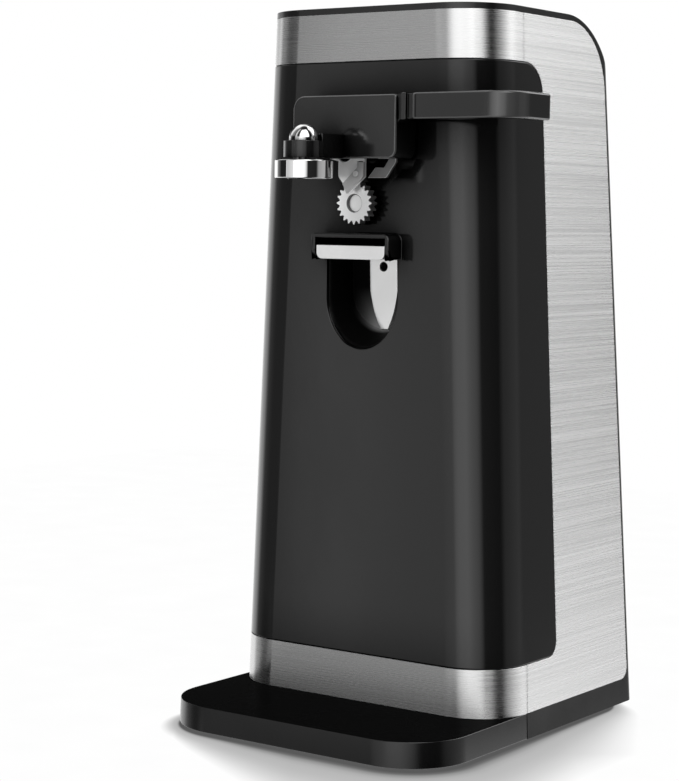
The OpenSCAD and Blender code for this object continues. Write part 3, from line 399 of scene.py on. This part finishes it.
def panel_black():
    """The polished black of the front panel, with the bottle recess falling away into the dark."""
    m = gloss_black("Polished black plastic with recess")
    t, inputs = m.node_tree, shader(m).inputs
    tongue_low, tongue_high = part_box("bottle_tongue")
    face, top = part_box("drive_bush")[0].y, tongue_high.z + 1.2 * MM
    recess = use(t, RECESS, Middle=(tongue_low.x + tongue_high.x) / 2, Half_width=15.8 * MM, Face=face,
                 Depth=tongue_high.y - face, Top=top, Height=top - tongue_low.z)
    matt, deepest, lit = 0.7, 0.95, 0.11
    rough = calc(t, "MAXIMUM", source(inputs["Roughness"]), times(t, recess["Mask"], matt))
    feed(t, inputs["Roughness"], rough)
    close_by = use(t, NEARBY, Reach=34.0 * MM, Most=0.9)
    shut = calc(t, "MAXIMUM", times(t, recess["Mask"], deepest), close_by["Mask"])
    darkened(t, inputs, times(t, shut, minus(t, 1.0, recess["Open"])))
    turned_to(t, inputs, recess["Open"], lit)
    return m


PANEL = panel_black()

# ---------------------------------------------------------------- geometry helpers


def new_object(name, data):
    ob = bpy.data.objects.new(name, data)
    bpy.context.scene.collection.objects.link(ob)
    return ob


def mesh_of(bm, name):
    me = bpy.data.meshes.new(name)
    bm.to_mesh(me)
    bm.free()
    return me


def merged(node):
    """A CAD node with its corners joined and its flat triangles made into whole faces."""
    bm = bmesh.new()
    bm.from_mesh(frame["nodes"][node].data)
    bmesh.ops.remove_doubles(bm, verts=bm.verts, dist=WELD)
    bmesh.ops.dissolve_limit(bm, angle_limit=math.radians(0.4), verts=bm.verts, edges=bm.edges,
                             use_dissolve_boundaries=False)
    bm.normal_update()
    return bm


def settle(ob):
    """Applies the modifiers; the normals they make are kept."""
    graph = bpy.context.evaluated_depsgraph_get()
    me = bpy.data.meshes.new_from_object(ob.evaluated_get(graph))
    ob.modifiers.clear()
    old = ob.data
    ob.data = me
    if old.users == 0:
        bpy.data.meshes.remove(old)


def rounded(ob, width, segments, weighed=False):
    """Rounds the sharp edges by width, in millimetres, or each edge by its own weight's share of it."""
    ob.data.shade_smooth()
    edges = ob.modifiers.new("edges", "BEVEL")
    edges.width = width * MM
    edges.segments = segments
    edges.limit_method = "WEIGHT" if weighed else "ANGLE"
    edges.angle_limit = SHARP
    edges.use_clamp_overlap = not weighed
    normals = ob.modifiers.new("normals", "WEIGHTED_NORMAL")
    normals.mode = "FACE_AREA"
    normals.weight = 90
    settle(ob)


def finish_piece(ob, node, finish=None):
    """Gives a finished piece its own finish or that of its slot, and puts it in place of the CAD node."""
    ob.data.materials.clear()
    ob.data.materials.append(finish or MAT[SLOT[node]])
    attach(ob, BODY[node])
    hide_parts(node)


def second_finish(name, finish, chosen):
    """Another finish on the faces of a finished piece that chosen(normal) picks."""
    me = bpy.data.objects[name].data
    me.materials.append(finish)
    for face in me.polygons:
        if chosen(face.normal):
            face.material_index = 1


def weigh_edges(bm, width, wider):
    """Weighs each sharp edge by its width against the widest of all, which it gives back.
    Edges that lie wholly in one of the boxes of wider have that box's own width."""
    slack = 0.01 * MM
    widest = max([width] + [own for _, _, own in wider])
    weight = bm.edges.layers.float.new("bevel_weight_edge")
    for e in bm.edges:
        if len(e.link_faces) == 2 and e.calc_face_angle(0.0) >= SHARP:
            widths = [width] + [own for lo, hi, own in wider if all(
                lo[k] - slack <= v.co[k] <= hi[k] + slack for v in e.verts for k in range(3))]
            e[weight] = widths[-1] / widest
    return widest


def softened(node, width, segments=2, wider=(), finish=None):
    """The CAD node with its edges rounded by width, in millimetres."""
    bm = merged(node)
    if wider:
        width = weigh_edges(bm, width, wider)
    ob = new_object(node + "_soft", mesh_of(bm, node))
    rounded(ob, width, segments, weighed=bool(wider))
    finish_piece(ob, node, finish)


def islands(node):
    """The boxes of a node's separate solids, in order of place."""
    bm = merged(node)
    left, found = set(bm.verts), []
    while left:
        stack = [left.pop()]
        lo, hi = stack[0].co.copy(), stack[0].co.copy()
        while stack:
            v = stack.pop()
            lo, hi = Vector(map(min, lo, v.co)), Vector(map(max, hi, v.co))
            for other in {e.other_vert(v) for e in v.link_edges} & left:
                left.remove(other)
                stack.append(other)
        found.append((lo, hi))
    bm.free()
    return sorted(found, key=lambda box: tuple(box[0]))


def geometry_tree(name, **inputs):
    """A new Geometry Nodes group and its inputs by name, with the sockets inside it that give and take."""
    g = bpy.data.node_groups.new(name, "GeometryNodeTree")
    sockets = {label: g.interface.new_socket(name=label, in_out="INPUT", socket_type="NodeSocket" + kind)
               for label, kind in {"Geometry": "Geometry", **inputs, "Material": "Material"}.items()}
    g.interface.new_socket(name="Geometry", in_out="OUTPUT", socket_type="NodeSocketGeometry")
    return g, sockets, g.nodes.new("NodeGroupInput").outputs, g.nodes.new("NodeGroupOutput").inputs


def finish_tree(g, instances, given, out):
    real = add(g, "GeometryNodeRealizeInstances", Geometry=instances)
    dressed = add(g, "GeometryNodeSetMaterial", Geometry=real.outputs[0], Material=given["Material"])
    feed(g, out["Geometry"], dressed.outputs[0])


def repeat_tree():
    """The piece repeated Count times round the Y axis through Centre."""
    g, sockets, given, out = geometry_tree("Repeat round an axis", Count="Int", Centre="Vector")
    points = add(g, "GeometryNodePoints", Count=given["Count"], Position=given["Centre"])
    step = calc(g, "DIVIDE", 2 * math.pi, given["Count"])
    turn = times(g, g.nodes.new("GeometryNodeInputIndex").outputs[0], step)
    copies = add(g, "GeometryNodeInstanceOnPoints", Points=points.outputs[0], Instance=given["Geometry"],
                 Rotation=combine(g, 0.0, turn, 0.0))
    finish_tree(g, copies.outputs[0], given, out)
    return g, sockets


def place_tree():
    """The object Part put at each vertex of the piece, turned by Turn."""
    g, sockets, given, out = geometry_tree("Place at points", Part="Object", Turn="Vector")
    part = add(g, "GeometryNodeObjectInfo", Object=given["Part"])
    copies = add(g, "GeometryNodeInstanceOnPoints", Points=given["Geometry"],
                 Instance=part.outputs["Geometry"], Rotation=given["Turn"])
    finish_tree(g, copies.outputs[0], given, out)
    return g, sockets


REPEAT, PLACE = repeat_tree(), place_tree()


def grown(ob, tree, **values):
    """Runs a Geometry Nodes group on ob with those inputs, and keeps only the mesh it makes."""
    group, sockets = tree
    modifier = ob.modifiers.new("grown", "NODES")
    modifier.node_group = group
    for label, value in values.items():
        modifier[sockets[label].identifier] = value
    settle(ob)


# ---------------------------------------------------------------- housing, bands, foot and cutting parts

# Width of the rounded edges of each piece, in millimetres
EDGES = {
    "rear_housing": 0.5, "top_band": 0.12, "bottom_band": 0.12, "side_panel_left": 0.12,
    "side_panel_right": 0.12, "base_foot": 0.7, "bottom_cover": 0.3, "magnet_arm": 0.35,
    "sharpener_guide": 0.4, "cord_gland": 0.3, "cutter_blade": 0.1, "lid_stripper": 0.08,
    "can_guide": 0.12, "bottle_lip": 0.15, "bottle_tongue": 0.12, "magnet_cup": 0.5,
    "cutter_carrier": 0.2,
}
OWN_FINISH = {"base_foot": FOOT, "cutter_blade": BLADE, "can_guide": GUIDE}
for name, width in EDGES.items():
    softened(name, width, finish=OWN_FINISH.get(name))
# the foot's top faces take its darker copy, painted shade
second_finish("base_foot_soft", FOOT_TOP_SHADED, lambda normal: normal.z > 0.9)


def front_panel():
    """The panel, with the front rim of its hood rounder than the rest."""
    lo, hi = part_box("front_panel")
    hood_rim = (lo, (hi.x, lo.y, hi.z), 0.55)
    softened("front_panel", 0.3, finish=PANEL, wider=[hood_rim])


def lever_arm():
    """The lever, with its front rims and the edges along its bar rounder than the rest."""
    lo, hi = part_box("lever_arm")
    round_mm = 0.75
    bar_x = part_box("cutter_carrier")[1].x + 6.8 * MM
    bar_z = hi.z - 8.4 * MM
    front = (lo, (hi.x, lo.y, hi.z), round_mm)
    bar_top = ((bar_x, lo.y, hi.z), hi, round_mm)
    bar_underside = ((bar_x, lo.y, bar_z), (hi.x, hi.y, bar_z), round_mm)
    softened("lever_arm", 0.15, segments=3, finish=LEVER, wider=[front, bar_top, bar_underside])


front_panel()
lever_arm()

# ---------------------------------------------------------------- feed wheel


def feed_wheel(teeth=20, depth=1.1 * MM, hub=4.2 * MM, bore=2.77 * MM, chamfer=0.35 * MM):
    """The hub's faces, with one tooth's sector repeated round them, welded and edged."""
    lo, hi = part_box("feed_wheel")
    centre = Vector(((lo.x + hi.x) / 2, 0.0, (lo.z + hi.z) / 2))
    tip, front_y, back_y = (hi.z - lo.z) / 2, lo.y, hi.y
    root = tip - depth
    step = 2 * math.pi / teeth
    facets = 5  # straight sides of the hub for each tooth
    foot, crest = 0.4, 0.1  # where a tooth's flank starts and ends, in shares of its sector

    def at(bm, r, turn, y):
        return bm.verts.new((r * math.cos(turn * step), y, r * math.sin(turn * step)))

    bm = bmesh.new()
    inner = [(hub, k / facets - 0.5) for k in range(facets + 1)]
    outer = [(root, 0.5), (root, foot), (tip, crest), (tip, -crest), (root, -foot), (root, -0.5)]
    front = [at(bm, r, turn, front_y) for r, turn in inner + outer]
    back = [at(bm, r, turn, back_y) for r, turn in inner + outer]
    bm.faces.new(front)
    bm.faces.new(back[::-1])
    for k in range(len(inner), len(front) - 1):
        bm.faces.new((front[k], back[k], back[k + 1], front[k + 1]))
    wheel = new_object("feed_wheel_toothed", mesh_of(bm, "tooth"))
    grown(wheel, REPEAT, Count=teeth, Centre=centre, Material=MAT["sintered_steel"])

    bm = bmesh.new()
    sides = teeth * facets
    rims = [[at(bm, r, k / facets - 0.5, y) for k in range(sides)]
            for r, y in ((hub, front_y), (bore + chamfer, front_y), (bore, front_y + chamfer),
                         (bore, back_y), (hub, back_y))]
    for a, b in zip(rims, rims[1:]):
        for k in range(sides):
            after = (k + 1) % sides
            bm.faces.new((a[k], a[after], b[after], b[k]))
    bmesh.ops.translate(bm, verts=bm.verts, vec=centre)
    bm.from_mesh(wheel.data)
    bmesh.ops.remove_doubles(bm, verts=bm.verts, dist=WELD)
    bmesh.ops.dissolve_limit(bm, angle_limit=math.radians(1), verts=bm.verts, edges=bm.edges)
    bmesh.ops.recalc_face_normals(bm, faces=bm.faces)
    bm.to_mesh(wheel.data)
    bm.free()
    rounded(wheel, 0.07, 1)
    finish_piece(wheel, "feed_wheel")
    # every face but the front takes the dark copy, painted shade
    second_finish("feed_wheel_toothed", SHADED_FLANKS, lambda normal: normal.y > -0.8)


feed_wheel()

# ---------------------------------------------------------------- screws


def crosshead_screw(name, head, rise, shank, length, sides=32):
    """A pan-head screw along +Z from the top of its head at 0, with a cross recess."""
    bm = bmesh.new()
    arm, half, deep, narrowed = head * 0.55, head * 0.14, rise * 0.75, 0.7
    crown, shoulder, point = head * 0.86, rise * 0.4, shank * 0.2

    def loop(points, z):
        return [bm.verts.new((x, y, z)) for x, y in points]

    def circle(r, z):
        turns = [2 * math.pi * k / sides for k in range(sides)]
        return loop([(r * math.cos(turn), r * math.sin(turn)) for turn in turns], z)

    def wall(a, b):
        for k in range(len(a)):
            after = (k + 1) % len(a)
            bm.faces.new((a[k], a[after], b[after], b[k]))

    def cross(scale):
        corner = [(arm, half), (half, half), (half, arm)]
        return [(scale * (x * c - y * s), scale * (x * s + y * c))
                for c, s in ((1, 0), (0, 1), (-1, 0), (0, -1)) for x, y in corner]

    rings = [circle(crown, 0.0), circle(head, shoulder), circle(head, rise),
             circle(shank, rise), circle(shank, length - shank), circle(point, length)]
    for a, b in zip(rings, rings[1:]):
        wall(a, b)
    bm.faces.new(rings[-1])
    mouth, bed = loop(cross(1.0), 0.0), loop(cross(narrowed), deep)
    wall(mouth, bed)
    bm.faces.new(bed)
    edges = [bm.edges.get(pair) for rim in (mouth, rings[0]) for pair in zip(rim, rim[1:] + rim[:1])]
    bmesh.ops.triangle_fill(bm, edges=edges, use_beauty=True)
    bmesh.ops.recalc_face_normals(bm, faces=bm.faces)
    return mesh_of(bm, name)


def screws(node, axis, head, rise, shank):
    """Crosshead screws at the places of the node's plain ones, along Y (axis 1) or Z (axis 2)."""
    boxes = islands(node)
    length = boxes[0][1][axis] - boxes[0][0][axis]
    part = new_object(node + "_pattern", crosshead_screw(node + "_pattern", head, rise, shank, length))
    places = []
    for lo, hi in boxes:
        place = (lo + hi) / 2
        place[axis] = lo[axis]
        places.append(place)
    me = bpy.data.meshes.new(node + "_points")
    me.from_pydata(places, [], [])
    ob = new_object(node + "_crosshead", me)
    spin = 0.4  # the crosses stand at this angle, as a screwdriver happens to leave them
    turn = (0.0, 0.0, spin) if axis == 2 else (-math.pi / 2, spin, 0.0)
    grown(ob, PLACE, Part=part, Turn=turn, Material=MAT[SLOT[node]])
    bpy.data.objects.remove(part)
    ob.data.shade_smooth()
    ob.data.set_sharp_from_angle(angle=SHARP)
    finish_piece(ob, node)


screws("base_screws", axis=2, head=2.8 * MM, rise=0.7 * MM, shank=1.25 * MM)
screws("frame_screws", axis=1, head=3.0 * MM, rise=1.6 * MM, shank=1.45 * MM)
screws("switch_screws", axis=1, head=1.9 * MM, rise=1.6 * MM, shank=1.05 * MM)

# ---------------------------------------------------------------- finishes of the other CAD nodes

for name, ob in frame["nodes"].items():
    if not ob.hide_render:
        ob.data.materials.clear()
        ob.data.materials.append(MAT[SLOT[name]])

# ---------------------------------------------------------------- studio


def card(name, centre, target, width, height, watts):
    """A soft box that lights matt surfaces only; polished ones mirror the studio's own rings of light."""
    light = bpy.data.lights.new(name, "AREA")
    light.shape = "RECTANGLE"
    light.size, light.size_y = width, height
    light.energy = watts
    ob = new_object(name, light)
    ob.location = centre
    ob.rotation_euler = (Vector(target) - Vector(centre)).to_track_quat("-Z", "Y").to_euler()
    ob.visible_glossy = False
    ob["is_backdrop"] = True


# Brightness of the studio seen in reflections, by degrees from the front: level with the opener,
# above it and below it
LEVEL = [(-180, 0.5), (-160, 0.8), (-135, 1.2), (-98, 1.2), (-86, 0.2), (-80, 0.15), (-66, 0.015),
         (-41, 0.015), (-37.2, 0.05), (-36.8, 0.72), (-36.3, 0.92), (-35, 0.86), (-33.9, 0.58), (-33, 0.56),
         (-24, 0.66), (-8, 0.78), (-3, 1.35), (4, 1.65), (20, 1.78), (32, 1.28), (42, 0.98), (47, 0.6),
         (52, 0.02), (88, 0.015), (98, 0.33), (118, 0.42), (134, 0.42), (147, 0.22), (155, 0.2), (180, 0.3)]
ABOVE = [(-180, 1.4), (-150, 0.9), (-120, 1.2), (-101, 1.0), (-81, 0.8), (-69, 0.27), (-53, 0.2),
         (-41, 0.1), (-36.5, 0.1), (-35, 0.4), (-33.5, 1.3), (-28, 0.6), (-16, 0.0), (-6, 0.0), (1, 0.9),
         (6, 1.6), (20, 1.7), (32, 2.4), (45, 3.6), (58, 4.2), (64, 3.6), (69, 2.4), (75, 0.8), (82, 0.0),
         (96, 0.0), (104, 0.2), (118, 1.4), (132, 3.6), (156, 4.4), (180, 1.5)]
BELOW = [(-180, 1.0), (-140, 0.6), (-101, 1.2), (-81, 0.7), (-69, 0.25), (-57, 0.2), (-45, 0.9),
         (-37, 0.3), (-33.6, 0.1), (-30, 0.6), (-24, 0.8), (-16, 1.0), (-5, 1.3), (8, 1.4), (20, 1.4),
         (32, 1.0), (45, 0.3), (52, 0.0), (72, 0.0), (88, 0.1), (98, 0.3), (108, 0.6), (118, 0.9),
         (134, 1.2), (150, 2.4), (165, 2.2), (180, 0.8)]
PEAK = 5.5  # brightness that a ramp's full white stands for
FILL = 0.35  # even light on matt surfaces
FLAG = 0.03  # brightness of the dark flags


def ring(t, around, stops):
    """Brightness round the studio, where around is 0 to 1 from back to back through the front."""
    return times(t, ramp(t, around, [(degrees / 360 + 0.5, v / PEAK) for degrees, v in stops]), PEAK)


def mirrored_studio(t):
    """What polished surfaces mirror: rings of soft boxes, and dark flags behind and overhead."""
    x, y, up = separate(t, add(t, "ShaderNodeTexCoord").outputs["Generated"])
    azimuth = calc(t, "ARCTAN2", x, times(t, y, -1.0))
    around = calc(t, "MULTIPLY_ADD", azimuth, 0.5 / math.pi, 0.5)
    look = blend(t, ring(t, around, LEVEL), ring(t, around, ABOVE), span(t, up, 0.19, 0.31))
    look = blend(t, look, ring(t, around, BELOW), span(t, up, -0.18, -0.28))
    # the flag behind stands low, where the foot's top mirrors it
    middle, full, end = math.radians(-145), math.radians(38), math.radians(50)
    behind = span(t, calc(t, "ABSOLUTE", minus(t, azimuth, middle)), full, end, 1.0, 0.0)
    height = times(t, span(t, up, 0.10, 0.13), span(t, up, 0.5, 0.62, 1.0, 0.0))
    look = blend(t, look, FLAG, times(t, behind, height))
    return blend(t, look, FLAG, span(t, up, 0.9, 0.96))


def studio_world():
    """White to the camera, the rings of soft boxes to polished surfaces, and an even fill to matt ones."""
    world = bpy.data.worlds.new("Studio")
    bpy.context.scene.world = world
    world.use_nodes = True
    t = world.node_tree
    t.nodes.clear()
    rays = add(t, "ShaderNodeLightPath")
    shown = add(t, "ShaderNodeBackground", Color=grey(FILL))
    for ray, colour in (("Is Glossy Ray", mirrored_studio(t)), ("Is Camera Ray", grey(1.0))):
        seen = add(t, "ShaderNodeBackground", Color=colour)
        shown = add(t, "ShaderNodeMixShader", i0=rays.outputs[ray], i1=shown.outputs[0], i2=seen.outputs[0])
    add(t, "ShaderNodeOutputWorld", Surface=shown.outputs[0])


# Brightness of the shadow painted on the table by distance from the foot, in metres
TABLE = [(0.0, 0.10), (0.0024, 0.155), (0.0048, 0.30), (0.0084, 0.43), (0.012, 0.48), (0.018, 0.51),
         (0.024, 0.56), (0.036, 0.70), (0.048, 0.87), (0.060, 1.0)]
SHADE_END = TABLE[-1][0]
SHADE_CORNER = 0.022  # corner radius of the outline that the shade follows
SHADE_TURN = math.radians(35.4)  # direction of the longest shade, from the front towards the right


def away_from_base(t, place):
    """Distance on the table from the rounded outline of the base."""
    housing_low, housing_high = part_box("rear_housing")
    past = []
    for axis, start, end in ((0, housing_low.x, housing_high.x), (1, low[1], high[1])):
        off = calc(t, "ABSOLUTE", minus(t, place[axis], (start + end) / 2))
        past.append(calc(t, "MAXIMUM", minus(t, off, (end - start) / 2 - SHADE_CORNER), 0.0))
    squares = calc(t, "ADD", times(t, past[0], past[0]), times(t, past[1], past[1]))
    return minus(t, calc(t, "SQRT", squares), SHADE_CORNER)


def shade_reach(t, place):
    """Share of the shade's length: all of it towards the front right, and little to the left and behind."""
    c, s = math.cos(SHADE_TURN), math.sin(SHADE_TURN)
    ahead = calc(t, "ADD", times(t, place[0], s), times(t, place[1], -c))
    aside = calc(t, "ADD", times(t, place[0], c), times(t, place[1], s))
    return times(t, span(t, ahead, -0.02, 0.05, 0.12, 1.0), span(t, aside, -0.08, -0.04, 0.2, 1.0),
                 span(t, aside, 0.0, 0.05, 0.9, 0.6))


def table_top():
    """White table top with the opener's shadow painted on it, darker towards the opener; seen from above by
    the camera only.
    """
    bm = bmesh.new()
    bmesh.ops.create_grid(bm, x_segments=1, y_segments=1, size=0.6)
    ob = new_object("Table", mesh_of(bm, "Table"))
    m = bpy.data.materials.new("White table")
    m.use_nodes = True
    t = m.node_tree
    t.nodes.remove(shader(m))
    place = separate(t, coordinates(t))
    graded = calc(t, "DIVIDE", away_from_base(t, place), times(t, shade_reach(t, place), SHADE_END))
    shade = ramp(t, graded, [(distance / SHADE_END, v) for distance, v in TABLE])
    fine = span(t, noise(t, coordinates(t), 40.0, 3.0), 0.3, 0.7, 0.985, 1.0)
    painted = add(t, "ShaderNodeEmission", Color=times(t, shade, fine))
    clear = add(t, "ShaderNodeBsdfTransparent")
    seen = add(t, "ShaderNodeLightPath").outputs["Is Camera Ray"]
    under = add(t, "ShaderNodeNewGeometry").outputs["Backfacing"]
    hidden = calc(t, "MAXIMUM", minus(t, 1.0, seen), under)
    shown = add(t, "ShaderNodeMixShader", i0=hidden, i1=painted.outputs[0], i2=clear.outputs[0])
    feed(t, t.nodes["Material Output"].inputs["Surface"], shown.outputs[0])
    ob.data.materials.append(m)
    ob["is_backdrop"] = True


studio_world()
card("Key light", (-0.54, -1.02, 1.1), (0, 0, 0.15), 0.55, 0.55, 15.0)
card("Low fill", (-0.3, -1.1, 0.16), (0, 0, 0.17), 0.4, 0.3, 6.0)
table_top()

# ---------------------------------------------------------------- camera


def studio_camera(place, yaw, pitch, roll, lens, rise):
    """A camera that looks along +Y, turned left by yaw, down by pitch and tilted left by roll, all in
    degrees, with its view shifted up by rise."""
    cam = bpy.data.cameras.new("Studio camera")
    cam.sensor_fit = "VERTICAL"
    cam.sensor_height = 36.0
    cam.lens = lens
    cam.shift_y = rise
    cam.clip_start = 0.05
    yaw, pitch, roll = math.radians(yaw), math.radians(pitch), math.radians(roll)
    ahead = Vector((-math.sin(yaw) * math.cos(pitch), math.cos(yaw) * math.cos(pitch), -math.sin(pitch)))
    level = Vector((math.cos(yaw), math.sin(yaw), 0))
    upright = level.cross(ahead)
    right = level * math.cos(roll) + upright * math.sin(roll)
    up = upright * math.cos(roll) - level * math.sin(roll)
    pose = Matrix((right, up, -ahead)).transposed().to_4x4()
    pose.translation = place
    ob = new_object("Studio camera", cam)
    ob.matrix_world = pose
    bpy.context.scene.camera = ob


studio_camera(Vector((0.39011, -0.59518, 0.17150)), yaw=35.39, pitch=5.04, roll=0.81,
              lens=96.28, rise=0.01306)
bpy.context.scene.view_settings.view_transform = "Standard"

low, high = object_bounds()
